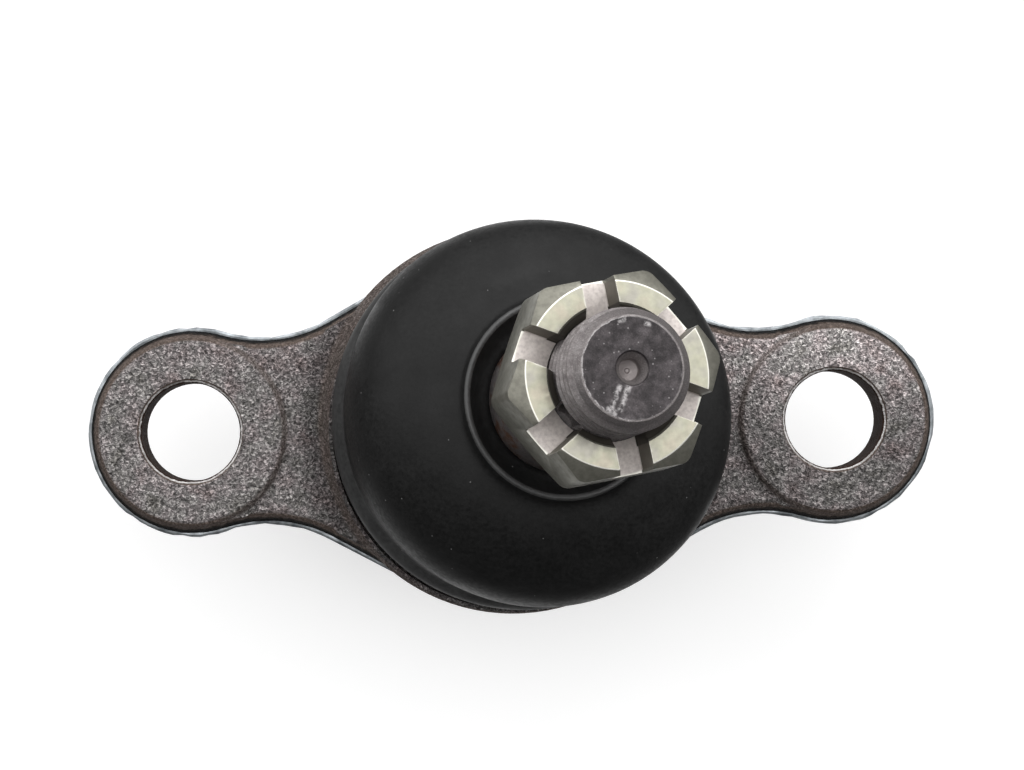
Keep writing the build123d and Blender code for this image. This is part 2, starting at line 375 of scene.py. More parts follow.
# ---- finishes --------------------------------------------------------------------------
def forged_steel():
    """Shot-blasted forging: grained brown-grey faces with a painted sheen on the +X lug and painted
    shade beside the boot; dark scale on the steep walls, darkened further as painted shade.
    """
    made = Finish("forged_steel", Specular_IOR_Level=0.10)
    x, y, z = made.split(made.point)
    up = made.math("ABSOLUTE", made.split(made.normal)[2])
    aside = made.math("ABSOLUTE", made.math("SUBTRACT", z, PARTING))
    along = made.math("ABSOLUTE", x)
    grain = made.noise(0.34 * MM, 1.5, 0.55, curl=0.8)
    coarse = made.noise(0.9 * MM, 2.0, 0.55, curl=0.5)
    patch = made.noise(3.4 * MM, 3.0, 0.6)

    # faces: red-brown and green-grey patches; a painted sheen makes the +X lug lighter on its +Y side
    # and a little darker on its -Y side
    face = made.shades(patch, (0.30, (0.192, 0.158, 0.155)), (0.46, (0.250, 0.224, 0.223)),
                       (0.58, (0.226, 0.214, 0.209)), (0.70, (0.168, 0.159, 0.148)))
    speckle = made.shades(grain, (0.28, 0.18), (0.46, 0.64), (0.56, 1.10), (0.70, 2.4))
    face = made.mix(1.0, face, speckle, "MULTIPLY")
    painted_sheen = made.math("MULTIPLY", made.step(x, 15 * MM, 34 * MM, 0.0, 1.0),
                     made.step(y, -3 * MM, 12 * MM, -0.11, 0.42))
    shade = made.math("ADD", 0.5, painted_sheen)
    face = made.mix(1.0, face, made.shades(shade, (0.0, 0.0), (1.0, 2.15)), "MULTIPLY")

    # painted shade: the faces are darker beside the boot
    from_axis = made.distance(x, y)
    painted_boot_shade = made.shades(made.step(from_axis, 24.3 * MM, 28.5 * MM), (0.0, 0.42), (1.0, 1.0))
    face = made.mix(1.0, face, painted_boot_shade, "MULTIPLY")

    # walls: dark scale, darkened by their slope as painted shade, near black by the flash line, brown
    # towards the rounded edges
    uneven = made.math("MULTIPLY_ADD", coarse, 2.4 * MM, made.math("SUBTRACT", aside, 1.2 * MM))
    scale = made.shades(made.step(uneven, 1.2 * MM, 2.9 * MM), (0.0, (0.006, 0.006, 0.006)),
                        (0.5, (0.036, 0.026, 0.021)), (1.0, (0.120, 0.093, 0.080)))
    scale = made.mix(0.5, scale, made.mix(1.0, scale, speckle, "MULTIPLY"))
    steep = made.step(up, 0.76, 0.99, 1.0, 0.0)
    hole_x = made.math("SUBTRACT", along, BOLT_SPACING / 2 * MM)
    boss_step = made.math("MULTIPLY", made.step(hole_x, -7 * MM, -2 * MM, 0.42, 0.0),
                          made.step(aside, 3.1 * MM, 3.5 * MM))
    steep = made.math("MULTIPLY", steep, made.math("SUBTRACT", 1.0, boss_step))
    base = made.mix(steep, face, scale)

    # bolt holes: brown bore with a thin bright edge of bare metal, painted lighter as a highlight
    from_hole = made.math("SUBTRACT", made.distance(hole_x, y), 0.15 * MM)
    ragged = made.math("MULTIPLY_ADD", coarse, 0.3 * MM, from_hole)
    bore = made.step(ragged, (HOLE_R + 0.10) * MM, (HOLE_R + 0.14) * MM, 1.0, 0.0)
    lip = made.step(ragged, (HOLE_R + 0.26) * MM, (HOLE_R + 0.34) * MM, 1.0, 0.0)
    lip = made.math("SUBTRACT", lip, bore)
    lip = made.math("MULTIPLY", lip, made.step(patch, 0.35, 0.55, 0.45, 1.0))
    base = made.mix(bore, base, (0.034, 0.018, 0.013))
    base = made.mix(lip, base, (0.80, 0.78, 0.77))
    made.colour(base)
    shiny = made.math("MULTIPLY", made.math("SUBTRACT", 1.0, steep),
                      made.step(grain, 0.45, 0.75, 0.15, 0.60))
    shiny = made.math("MULTIPLY", shiny, made.math("SUBTRACT", 1.0, bore))
    made.metallic(made.math("MAXIMUM", shiny, made.math("MULTIPLY", lip, 0.7)))
    made.roughness(made.math("ADD", made.step(grain, 0.35, 0.75, 0.62, 0.42),
                             made.math("MULTIPLY", steep, 0.25)))
    made.bumps((coarse, 0.16 * MM), (grain, 0.34 * MM))
    return made.material


def flash_steel():
    """Trimmed flash: bright, smeared metal."""
    made = Finish("flash_steel", Metallic=0.7)
    streaks = made.noise(1.8 * MM, 3.0, 0.55)
    made.colour(made.shades(streaks, (0.33, (0.20, 0.22, 0.235)), (0.6, (0.60, 0.64, 0.67))))
    made.roughness(made.step(streaks, 0.3, 0.7, 0.48, 0.34))
    made.bumps((made.noise(0.5 * MM, 2.0), 0.05 * MM))
    return made.material


def scratch(made, x, y, z, start, finish, width):
    """Share of a broken scratch on the stud's end between two places, millimetres."""
    along = Vector(finish) - Vector(start)
    way = along.normalized()
    dx = made.math("SUBTRACT", x, start[0] * MM)
    dy = made.math("SUBTRACT", y, start[1] * MM)
    far = made.math("ADD", made.math("MULTIPLY", dx, way.x), made.math("MULTIPLY", dy, way.y))
    off = made.math("SUBTRACT", made.math("MULTIPLY", dx, way.y),
                    made.math("MULTIPLY", dy, way.x))
    waver = made.math("MULTIPLY_ADD", made.noise(1.1 * MM, 3.0, 0.6), 0.6 * MM, off)
    off = made.math("ABSOLUTE", made.math("SUBTRACT", waver, 0.3 * MM))
    inside = made.math("MULTIPLY", made.step(off, 0.1 * width * MM, width * MM, 1.0, 0.0),
                       made.step(far, 0.0, 0.3 * MM))
    inside = made.math("MULTIPLY", inside, made.step(far, (along.length - 0.3) * MM,
                                                     along.length * MM, 1.0, 0.0))
    inside = made.math("MULTIPLY", inside, made.step(made.noise(0.45 * MM, 4.0, 0.7), 0.34, 0.62))
    on_end = made.step(z, (STUD_END - 0.2) * MM, (STUD_END - 0.1) * MM)
    return made.math("MULTIPLY", inside, on_end)


def stud_steel():
    """Dark oiled steel: mottled, finely turned, rusty low down, scratched on its end; the end face is
    painted darker as a painted reflection, and the centre hole's bottom lighter as a painted
    highlight.
    """
    made = Finish("stud_steel", leaning)
    x, y, z = made.split(made.point)
    mottle = made.noise(1.1 * MM, 5.0, 0.7)
    fine = made.noise(0.16 * MM, 3.0, 0.6)
    base = made.shades(mottle, (0.3, (0.150, 0.132, 0.132)), (0.5, (0.215, 0.196, 0.194)),
                       (0.72, (0.300, 0.280, 0.278)))
    speck = made.shades(fine, (0.3, 0.75), (0.62, 1.1), (0.75, 1.9))
    base = made.mix(1.0, base, speck, "MULTIPLY")
    radius = made.distance(x, y)
    uneven = made.math("MULTIPLY_ADD", made.noise(0.9 * MM, 4.0, 0.65), 0.6 * MM, radius)
    # painted reflection: the end face is painted darker, for the dark surroundings it reflects; the
    # blotches on it are the steel's own mottling
    end = made.math("MULTIPLY", made.step(z, (STUD_END - 0.35) * MM, (STUD_END - 0.1) * MM),
                    made.step(radius, (STUD_END_R - 0.12) * MM, (STUD_END_R - 0.02) * MM, 1.0, 0.0))
    dark = made.mix(1.0, base, (0.30, 0.29, 0.305), "MULTIPLY")
    blotch = made.shades(made.noise(1.5 * MM, 4.0, 0.65), (0.36, 0.45), (0.50, 0.80), (0.66, 1.35))
    dark = made.mix(1.0, dark, blotch, "MULTIPLY")
    base = made.mix(end, base, dark)
    # painted highlight: the bottom of the centre hole is painted lighter
    cup = made.step(z, (STUD_END - 1.9) * MM, (STUD_END - 1.5) * MM, 1.0, 0.0)
    cup = made.math("MULTIPLY", cup, made.step(radius, 1.25 * MM, 1.35 * MM, 1.0, 0.0))
    base = made.mix(cup, base, (0.29, 0.26, 0.255))
    bright = made.step(uneven, (STUD_END_R + 0.12) * MM, (STUD_END_R + 0.20) * MM)
    burr_end = made.step(uneven, (STUD_END_R + 0.26) * MM, (STUD_END_R + 0.32) * MM, 1.0, 0.0)
    bright = made.math("MULTIPLY", bright, burr_end)
    on_top = made.step(z, (STUD_END - 0.3) * MM, (STUD_END - 0.15) * MM)
    bright = made.math("MULTIPLY", bright, on_top)
    bright = made.math("MULTIPLY", bright, made.step(x, -2.5 * MM, 1.0 * MM, 0.8, 0.15))
    bright = made.math("MULTIPLY", bright, made.step(made.noise(0.6 * MM, 3.0), 0.40, 0.56, 0.2, 1.0))
    specks = made.math("MULTIPLY", made.step(made.cells(0.85 * MM), 0.07, 0.14, 0.45, 0.0), end)
    bright = made.math("MAXIMUM", bright, specks)
    for start, finish, width in SCRATCHES:
        bright = made.math("MAXIMUM", bright, scratch(made, x, y, z, start, finish, width))
    base = made.mix(bright, base, (0.44, 0.42, 0.42))
    low = made.step(z, 30 * MM, 36 * MM, 1.0, 0.0)
    rust = made.math("MULTIPLY", low, made.step(made.noise(2.0 * MM, 4.0, 0.65), 0.45, 0.62))
    made.colour(made.mix(rust, base, (0.085, 0.040, 0.024)))
    made.metallic(made.math("MULTIPLY", made.step(mottle, 0.3, 0.7, 0.45, 0.8),
                            made.math("SUBTRACT", 1.0, rust)))
    made.roughness(made.step(mottle, 0.3, 0.7, 0.55, 0.36))
    made.bumps((mottle, 0.05 * MM), (fine, 0.02 * MM))
    return made.material


def plated_steel():
    """Yellow-green passivated zinc with fine cutter marks, thin and pinkish in the slots; painted
    shade darkens the faces that tilt from the crown's top, the slot walls and the countersink, and a
    painted highlight lightens the crown's bevelled edge.
    """
    made = Finish("plated_steel", leaning)
    x, y, z = made.split(made.point)
    tint = made.noise(3.0 * MM, 3.0)
    cloud = made.noise(0.9 * MM, 4.0, 0.6)
    base = made.shades(tint, (0.35, (0.58, 0.535, 0.43)), (0.5, (0.545, 0.535, 0.42)),
                       (0.65, (0.505, 0.485, 0.42)))
    base = made.mix(0.35, base, made.shades(cloud, (0.3, 0.45), (0.7, 0.95)), "MULTIPLY")
    # painted shade: faces that tilt away from the crown's top get a darker, duller colour
    up = made.split(made.normal)[2]
    painted_side_shade = made.mix(made.step(cloud, 0.3, 0.7), (0.190, 0.184, 0.155), (0.265, 0.258, 0.218))
    # painted highlight: the bevel round the crown's top is painted near white
    painted_edge_highlight = made.math("MULTIPLY", made.step(up, 0.876, 0.90), made.step(up, 0.975, 0.992, 1.0, 0.0))
    base = made.mix(made.step(up, 0.90, 0.985), painted_side_shade, base)
    base = made.mix(painted_edge_highlight, base, (0.90, 0.88, 0.80))
    radius = made.distance(x, y)
    slots = made.math("MULTIPLY", made.step(radius, 10.75 * MM, 10.95 * MM, 1.0, 0.0),
                      made.step(z, (NUT_TOP - 0.45) * MM, (NUT_TOP - 0.25) * MM, 1.0, 0.0))
    streaks = made.noise(0.45 * MM, 3.0, 0.55)
    thin = made.shades(streaks, (0.3, (0.60, 0.54, 0.51)), (0.6, (0.78, 0.715, 0.675)))
    # painted shade: the slot walls are painted dark by their slope
    thin = made.mix(made.step(up, 0.3, 0.8), (0.16, 0.145, 0.12), thin)
    base = made.mix(slots, base, thin)
    # painted shade: the countersink below the crown is painted dark brown-grey
    painted_sink_shade = made.math("MULTIPLY", made.step(radius, 8.15 * MM, 8.3 * MM, 1.0, 0.0),
                     made.step(z, (NUT_TOP - 0.3) * MM, (NUT_TOP - 0.15) * MM, 1.0, 0.0))
    painted_sink_shade = made.math("MULTIPLY", painted_sink_shade, made.step(up, 0.85, 0.95, 1.0, 0.0))
    made.colour(made.mix(painted_sink_shade, base, (0.070, 0.062, 0.052)))
    made.metallic(made.step(slots, 0.0, 1.0, 0.65, 0.3))
    made.roughness(made.math("ADD", made.step(cloud, 0.3, 0.7, 0.42, 0.32),
                             made.math("MULTIPLY", slots, 0.15)))
    made.bumps((made.noise(0.35 * MM, 2.0), 0.015 * MM))
    return made.material


def boot_rubber(name, grey, shine):
    """Semi-matte moulded rubber with a little bloom and dust."""
    made = Finish(name, Metallic=0.0, Specular_IOR_Level=shine)
    bloom = made.noise(3.5 * MM, 4.0, 0.6)
    fine = made.noise(0.5 * MM, 3.0, 0.6)
    smudge = made.noise(9.0 * MM, 3.0, 0.6, curl=0.6)
    base = made.shades(bloom, (0.3, (0.8 * grey,) * 3), (0.7, (1.2 * grey,) * 3))
    base = made.mix(1.0, base, made.shades(fine, (0.3, 0.72), (0.7, 1.3)), "MULTIPLY")
    dust = made.shades(made.cells(2.0 * MM), (0.0, 1.0), (0.035, 0.7), (0.055, 0.0))
    made.colour(made.mix(dust, base, (0.20, 0.20, 0.20)))
    made.roughness(made.math("ADD", made.step(smudge, 0.35, 0.65, 0.43, 0.55),
                             made.step(fine, 0.3, 0.7, -0.07, 0.07)))
    made.bumps((fine, 0.02 * MM))
    return made.material


def plain(name, colour, roughness, metallic, size=1.0 * MM, depth=0.01 * MM):
    """Quiet finish for the pieces inside: one colour, clouded and slightly grained."""
    made = Finish(name, Metallic=metallic)
    cloud = made.noise(size, 4.0, 0.6)
    light = tuple(min(1.0, 1.25 * c) for c in colour)
    dark = tuple(0.75 * c for c in colour)
    made.colour(made.shades(cloud, (0.3, dark), (0.7, light)))
    made.roughness(made.step(cloud, 0.3, 0.7, roughness + 0.08, roughness - 0.08))
    made.bumps((cloud, depth))
    return made.material


# ---- flash line round the forging ------------------------------------------------------
def swell(value, at, waves):
    """The value with noise added to it: one share for each pace, in waves per metre."""
    for pace, share in waves:
        value = value + share * noise.noise(at * pace)
    return value


def flash_line():
    """Thin, uneven ridge where the two halves of the forging die met."""
    source = frame["nodes"]["housing"]
    piece = bpy.data.objects.new("flash_line", source.data.copy())
    bpy.context.scene.collection.objects.link(piece)
    pick(piece)
    bpy.ops.object.mode_set(mode="EDIT")
    bpy.ops.mesh.select_all(action="SELECT")
    bpy.ops.mesh.remove_doubles(threshold=1e-6)
    bpy.ops.mesh.select_all(action="SELECT")
    bpy.ops.mesh.bisect(plane_co=(0, 0, PARTING), plane_no=(0, 0, 1),
                        clear_inner=True, clear_outer=True)
    bpy.ops.mesh.select_all(action="SELECT")
    bpy.ops.mesh.remove_doubles(threshold=1e-5)
    hole_reach = (HOLE_R + 1.0) * MM
    lug_x = BOLT_SPACING / 2 * MM

    def inside(corner):
        from_hole = Vector((abs(corner.co.x), corner.co.y)) - Vector((lug_x, 0))
        from_axis = corner.co.xy - ball.xy
        return from_hole.length < hole_reach or from_axis.length < FLASH_CUP_R * MM

    choose(piece, inside, "VERT")
    bpy.ops.mesh.delete(type="VERT")
    bpy.ops.object.mode_set(mode="OBJECT")
    bpy.ops.object.convert(target="CURVE")
    piece = bpy.context.object
    for spline in piece.data.splines:
        for point in spline.points:
            point.radius = swell(1.0, point.co.xyz, FLASH_SWELLS)
    piece.data.bevel_depth = FLASH_R * MM
    piece.data.bevel_resolution = 2
    bpy.ops.object.convert(target="MESH")
    for corner in piece.data.vertices:
        wave = swell(0.0, corner.co, FLASH_WAVES)
        height = corner.co.z - PARTING
        corner.co.z = PARTING + height * (1.25 + 2.2 * wave)
    settle(piece, flash_steel(), "housing", "forged_steel")


# ---- stud ------------------------------------------------------------------------------
def thread_groove(name, start, end, crest_r, pitch, steps=48):
    """Cutter for a screw thread: a V section wound up the upright axis."""
    root_r = (crest_r - THREAD_DEPTH * pitch) * MM
    out_r = (crest_r + THREAD_ROOM) * MM
    half = (pitch * THREAD_MOUTH + THREAD_ROOM * tan(radians(30))) * MM
    put_down()
    bpy.ops.mesh.primitive_circle_add(vertices=3, radius=MM)
    groove = bpy.context.object
    groove.name = name
    section = (root_r, 0), (out_r, -half), (out_r, half)
    for corner, (radius, height) in zip(groove.data.vertices, section):
        corner.co = (radius, 0, start * MM + height)
    turns = int((end - start) / pitch) + 1
    modify(groove, "SCREW", axis="Z", angle=2 * pi, steps=steps, render_steps=steps,
           screw_offset=pitch * MM, iterations=turns, use_merge_vertices=False,
           use_smooth_shade=False)
    pick(groove)
    bpy.ops.object.mode_set(mode="EDIT")
    bpy.ops.mesh.select_all(action="SELECT")
    bpy.ops.mesh.fill_holes(sides=3)
    bpy.ops.mesh.select_all(action="SELECT")
    bpy.ops.mesh.normals_make_consistent(inside=False)
    bpy.ops.object.mode_set(mode="OBJECT")
    return groove


def ball_stud():
    """Ball, neck, taper and threaded end with its centre hole."""
    ball_arc = [(BALL_R * sin(radians(a)), -BALL_R * cos(radians(a))) for a in range(30, 151, 5)]
    centre_hole = [(radius, STUD_END - depth, *edge) for radius, depth, *edge in CENTRE_HOLE]
    stud = turn("stud", [
        (0, -BALL_FLAT), *ball_arc, (NECK_R, 13.0, 0.8), (NECK_R, 15.0, 3.0),
        (SHANK_R, SHANK_START, 1.5), (SHANK_R, TAPER_START, 0.5), (TAPER_END_R, TAPER_END, 0.3),
        (RELIEF_R, TAPER_END + 0.3, 0.2), (RELIEF_R, THREAD_START - 0.6, 0.2),
        (THREAD_R, THREAD_START), (THREAD_R, STUD_END - 1.3, 0.15),
        (STUD_END_R + 0.15, STUD_END - 0.05, 0.12), (STUD_END_R - 0.1, STUD_END, 0.1),
        *centre_hole], steps=120)
    cut(stud, thread_groove("groove", THREAD_START - 1.0, STUD_END + 1.0, THREAD_R, THREAD_PITCH))
    put_down()
    bpy.ops.mesh.primitive_cylinder_add(
        vertices=32, radius=PIN_HOLE_R * MM, depth=20 * MM,
        location=(0, 0, (NUT_TOP - SLOT_DEPTH / 2) * MM),
        rotation=(0, pi / 2, radians(NUT_TURN + HALF_SIDE)))
    cut(stud, bpy.context.object)
    settle(stud, stud_steel(), "stud", "stud_steel", "ball_stud", place=leaning, smooth=30)


# ---- nut -------------------------------------------------------------------------------
def castle_nut():
    """Slotted hexagon nut: rounded corners, chamfered both ends, six slots."""
    height = NUT_TOP - NUT_BOTTOM
    corner_r = NUT_FLATS / sqrt(3)
    put_down()
    bpy.ops.mesh.primitive_cylinder_add(
        vertices=6, radius=corner_r * MM, depth=height * MM,
        location=(0, 0, height / 2 * MM), rotation=(0, 0, radians(NUT_TURN - HALF_SIDE)))
    nut = bpy.context.object
    nut.name = "slotted_nut"
    bpy.ops.object.transform_apply(location=True, rotation=True, scale=True)
    bpy.ops.object.mode_set(mode="EDIT")
    choose(nut, lambda edge: abs(edge.verts[0].co.z - edge.verts[1].co.z) > 5 * MM, "EDGE")
    bpy.ops.mesh.bevel(offset=NUT_CORNER_EDGE * MM, segments=5, affect="EDGES")
    bpy.ops.object.mode_set(mode="OBJECT")
    tool_r = corner_r + CUTTER_ROOM
    drop = (tool_r - NUT_CHAMFER_R) * tan(radians(30))
    cut(nut, turn("chamfer", [
        (0, 0), (NUT_CHAMFER_R, 0), (tool_r, drop), (tool_r, height - drop),
        (NUT_CHAMFER_R, height, 0.5), (0, height)], steps=144), "INTERSECT")
    sink = NUT_SINK_R - THREAD_R
    cut(nut, turn("bore", [
        (0, -1), (THREAD_R + sink + BORE_MOUTH, -1), (THREAD_R + BORE_GAP, sink),
        (THREAD_R + BORE_GAP, height - sink), (THREAD_R + sink + BORE_MOUTH, height + 1),
        (0, height + 1)]))
    for k in range(3):
        put_down()
        bpy.ops.mesh.primitive_cube_add(size=1)
        slot = bpy.context.object
        slot.scale = (40 * MM, (SLOT_WIDTH + SLOT_SPREAD * (k - 1)) * MM, (SLOT_DEPTH + 2) * MM)
        slot.rotation_euler = (0, 0, radians(NUT_TURN + HALF_SIDE + 2 * HALF_SIDE * k))
        slot.location = (0, 0, (height - SLOT_DEPTH / 2 + 1) * MM)
        bpy.ops.object.transform_apply(location=True, rotation=True, scale=True)
        bpy.ops.object.mode_set(mode="EDIT")
        floor_level = (height - SLOT_DEPTH) * MM
        choose(slot, lambda edge: all(v.co.z < floor_level + 1e-5 for v in edge.verts)
               and edge.calc_length() > 20 * MM, "EDGE")
        bpy.ops.mesh.bevel(offset=SLOT_EDGE * MM, segments=3, affect="EDGES")
        bpy.ops.object.mode_set(mode="OBJECT")
        cut(nut, slot)
    modify(nut, "BEVEL", width=NUT_EDGE * MM, segments=2, limit_method="ANGLE",
           angle_limit=radians(28), use_clamp_overlap=True)
    settle(nut, plated_steel(), "stud", "plated_nut", "castle_nut",
           place=leaning @ Matrix.Translation((0, 0, NUT_BOTTOM * MM)), smooth=25)


# ---- boot ------------------------------------------------------------------------------
# Rings from the lip's inner edge down the outside and up the inside: height, radius,
# share of the sideways carry and share of the tip that the ring takes from the lean.
BOOT_RINGS = (
    (22.95, 8.75, 1.00, 1.00), (23.15, 9.0, 1.00, 1.00), (23.25, 9.6, 1.00, 1.00),
    (23.5, 10.2, 1.00, 1.00), (24.6, 11.15, 1.00, 1.00), (25.15, 11.4, 1.00, 1.00),
    (25.3, 11.65, 1.00, 1.00), (25.3, 11.9, 1.00, 1.00), (25.1, 12.15, 1.00, 1.00),
    (24.4, 12.3, 1.00, 1.00), (24.0, 12.5, 1.00, 1.00), (23.7, 13.0, 1.00, 1.00),
    (23.35, 14.2, 1.00, 1.00), (22.85, 15.7, 1.00, 0.98), (22.15, 17.2, 0.995, 0.94),
    (21.25, 18.7, 0.985, 0.88), (20.1, 20.45, 0.975, 0.80), (18.7, 22.0, 0.955, 0.70),
    (17.1, 23.05, 0.935, 0.58), (15.5, 23.6, 0.905, 0.48), (13.8, 23.85, 0.88, 0.40),
    (12.3, 23.65, 0.84, 0.34), (11.1, 23.2, 0.79, 0.26), (10.5, 22.95, 0.76, 0.22),
    (10.2, 22.8, 0.74, 0.20), (9.95, 22.95, 0.72, 0.17), (9.45, 23.35, 0.66, 0.12),
    (8.7, 23.6, 0.59, 0.07), (8.0, 23.4, 0.53, 0.03), (7.45, 22.7, 0.47, 0.01),
    (7.25, 22.0, 0.40, 0.00), (7.2, 21.45, 0.00, 0.00), (6.9, 21.3, 0.00, 0.00),
    (6.2, 21.25, 0.00, 0.00), (6.1, 20.7, 0.00, 0.00), (6.1, 20.0, 0.00, 0.00),
    (6.3, 19.85, 0.00, 0.00), (8.0, 20.2, 0.20, 0.03), (10.5, 21.2, 0.65, 0.18),
    (13.8, 22.0, 0.88, 0.40), (16.4, 21.2, 0.92, 0.55), (18.8, 18.8, 0.96, 0.77),
    (20.6, 15.4, 1.00, 0.95), (22.5, 12.2, 1.00, 1.00), (22.8, 9.4, 1.00, 1.00),
    (22.8, 8.9, 1.00, 1.00),
)
BOOT_SEAM_OUTSIDE = 17        # ring where the skirt's piece meets the upper piece
BOOT_SEAM_INSIDE = 40
LIP_SHEEN = (5, 8)             # bands of the lip's top edge, glossier and painted lighter as a highlight
BEAD_PAINTED_LIGHT = (24, 31)         # bands of the bead that folds over the rim, painted lighter as painted light in the dome's shade
BOOT_STEPS = 72
BOOT_TURN = radians(13.0)     # how far the folds stay behind the stud's way
PINCH = 0.9                   # how much narrower the boot is along its fold, at most
PINCH_SPAN = (9.0, 12.3, 20.8)           # heights where that starts, peaks and ends
PINCH_WAY = Matrix.Rotation(radians(13.5), 3, "Z")


def ring_at(height, shift, tip):
    """A ring's centre, with the lean towards +X."""
    across = height * MM * sin(lean) * shift
    behind = BOOT_TURN * (1 - tip)
    return Vector((across * cos(behind), -across * sin(behind), height * MM * cos(lean * shift)))


def pinched(height, radius):
    """Half of a ring's width along the fold."""
    start, peak, end = PINCH_SPAN
    share = min((height - start) / (peak - start), (end - height) / (end - peak))
    return radius - PINCH * max(0.0, share)


def boot_shell():
    """The whole boot, drawn out ring after ring from the lip's inner edge and back to it."""
    height, radius, shift, tip = BOOT_RINGS[0]
    at = ring_at(height, shift, tip)
    width = radius
    put_down()
    bpy.ops.mesh.primitive_circle_add(vertices=BOOT_STEPS, radius=radius * MM, location=at,
                                      rotation=(0, lean * tip, 0))
    shell = bpy.context.object
    shell.name = "boot"
    bpy.ops.object.transform_apply(location=True, rotation=True, scale=True)
    bpy.ops.object.mode_set(mode="EDIT")
    bpy.ops.mesh.select_all(action="SELECT")
    for next_height, next_radius, next_shift, next_tip in BOOT_RINGS[1:] + BOOT_RINGS[:1]:
        centre = ring_at(next_height, next_shift, next_tip)
        bpy.ops.mesh.extrude_region_move(TRANSFORM_OT_translate={"value": centre - at})
        next_width = pinched(next_height, next_radius)
        growth = next_radius / radius
        bpy.ops.transform.resize(
            value=(next_width / width, growth, growth), center_override=centre,
            orient_type="GLOBAL", orient_matrix=PINCH_WAY, orient_matrix_type="GLOBAL")
        bpy.ops.transform.rotate(value=-lean * (next_tip - tip), orient_axis="Y",
                                 center_override=centre)
        at, radius, width, tip = centre, next_radius, next_width, next_tip
    bpy.ops.object.mode_set(mode="OBJECT")
    return shell


def dust_boot():
    """Rubber boot in two pieces that meet at a seam."""
    boot = boot_shell()
    rubber = boot_rubber("boot_rubber", 0.0115, 0.20)
    # the lip's top edge: glossier, and painted lighter as a highlight
    painted_sheen = boot_rubber("painted_sheen_rubber", 0.036, 0.8)
    # the bead: painted lighter as painted light where the dome shades it
    painted_bead_light = boot_rubber("painted_light_rubber", 0.038, 0.2)
    for material in (rubber, painted_bead_light, rubber, painted_sheen):
        boot.data.materials.append(material)
    for face in boot.data.polygons:
        band = face.index // BOOT_STEPS
        upper = not BOOT_SEAM_OUTSIDE <= band < BOOT_SEAM_INSIDE
        marked = LIP_SHEEN[0] <= band < LIP_SHEEN[1] or BEAD_PAINTED_LIGHT[0] <= band < BEAD_PAINTED_LIGHT[1]
        face.material_index = 2 * upper + marked
    pick(boot)
    bpy.ops.object.mode_set(mode="EDIT")
    bpy.ops.mesh.select_all(action="SELECT")
    bpy.ops.mesh.remove_doubles(threshold=1e-6)
    bpy.ops.mesh.normals_make_consistent(inside=False)
    bpy.ops.object.mode_set(mode="OBJECT")
    modify(boot, "SUBSURF", levels=2, render_levels=2)
    boot.data.transform(Matrix.Translation(ball) @ Matrix.Rotation(lean_way, 4, "Z"))
    pick(boot)
    bpy.ops.object.shade_smooth()
    whole = boot.data.attributes.new("whole_normal", "FLOAT_VECTOR", "POINT")
    whole.data.foreach_set("vector", [c for v in boot.data.vertices for c in v.normal])
    bpy.ops.object.mode_set(mode="EDIT")
    choose(boot, lambda face: face.material_index > 1)
    bpy.ops.mesh.separate(type="SELECTED")
    put_down()
    skirt = boot
    collar = next(o for o in bpy.data.objects if o.name.startswith("boot.0"))
    skirt.name = "boot_skirt"
    collar.name = "boot_collar"
    for part, second in ((skirt, painted_bead_light), (collar, painted_sheen)):
        pick(part)
        bpy.ops.object.mode_set(mode="EDIT")
        bpy.ops.mesh.select_mode(type="EDGE")
        bpy.ops.mesh.select_all(action="DESELECT")
        bpy.ops.mesh.select_non_manifold()
        bpy.ops.mesh.bridge_edge_loops()
        bpy.ops.object.mode_set(mode="OBJECT")
        normals = [v.vector.copy() for v in part.data.attributes["whole_normal"].data]
        part.data.attributes.remove(part.data.attributes["whole_normal"])
        indices = [face.material_index % 2 for face in part.data.polygons]
        part.data.materials.clear()
        part.data.materials.append(rubber)
        part.data.materials.append(second)
        part.data.polygons.foreach_set("material_index", indices)
        part.data.normals_split_custom_set_from_vertices(normals)
        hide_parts("dust_boot")
    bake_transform(skirt)
    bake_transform(collar)


# ---- inside pieces and carried-over nodes ----------------------------------------------
def dress_nodes():
    """Gives the nodes that are shown as they come from the frame their finishes."""
    finishes = {
        "housing": forged_steel(),
        "bottom_cover": plain("cover_steel", (0.16, 0.15, 0.145), 0.5, 0.7, 1.4 * MM, 0.03 * MM),
        "upper_seat": plain("seat_plastic", (0.72, 0.70, 0.62), 0.45, 0.0),
        "preload_spring": plain("spring_steel", (0.40, 0.40, 0.42), 0.35, 0.9),
    }
    finishes["lower_seat"] = finishes["upper_seat"]
    finishes["boot_base_ring"] = finishes["preload_spring"]
    finishes["boot_lip_ring"] = finishes["preload_spring"]
    for name, material in finishes.items():
        node = frame["nodes"][name]
        if not node.material_slots:
            node.data.materials.append(None)
        for slot in node.material_slots:
            slot.material = material


# ---- camera ----------------------------------------------------------------------------
FOCAL_PX = 3008.8
WIDTH_PX = 1024
SENSOR = 36.0
CAMERA_FOOT = (0.054, 5.118)             # where its line meets the parting plane, millimetres
CAMERA_TURN = (0.827, -1.373, -1.116)    # degrees about X, Y and Z
CAMERA_HEIGHT = 378.07


def set_camera():
    """Nearly straight above the stud side, with a long lens."""
    data = bpy.data.cameras.new("camera")
    camera = bpy.data.objects.new("camera", data)
    bpy.context.scene.collection.objects.link(camera)
    data.sensor_width = SENSOR
    data.lens = SENSOR * FOCAL_PX / WIDTH_PX
    data.clip_start = 0.01
    foot = Matrix.Translation((CAMERA_FOOT[0] * MM, CAMERA_FOOT[1] * MM, PARTING))
    turned = Matrix.Identity(4)
    for angle, axis in zip(CAMERA_TURN, "XYZ"):
        turned = turned @ Matrix.Rotation(radians(angle), 4, axis)
    camera.matrix_world = foot @ turned @ Matrix.Translation((0, 0, CAMERA_HEIGHT * MM))
    bpy.context.scene.camera = camera


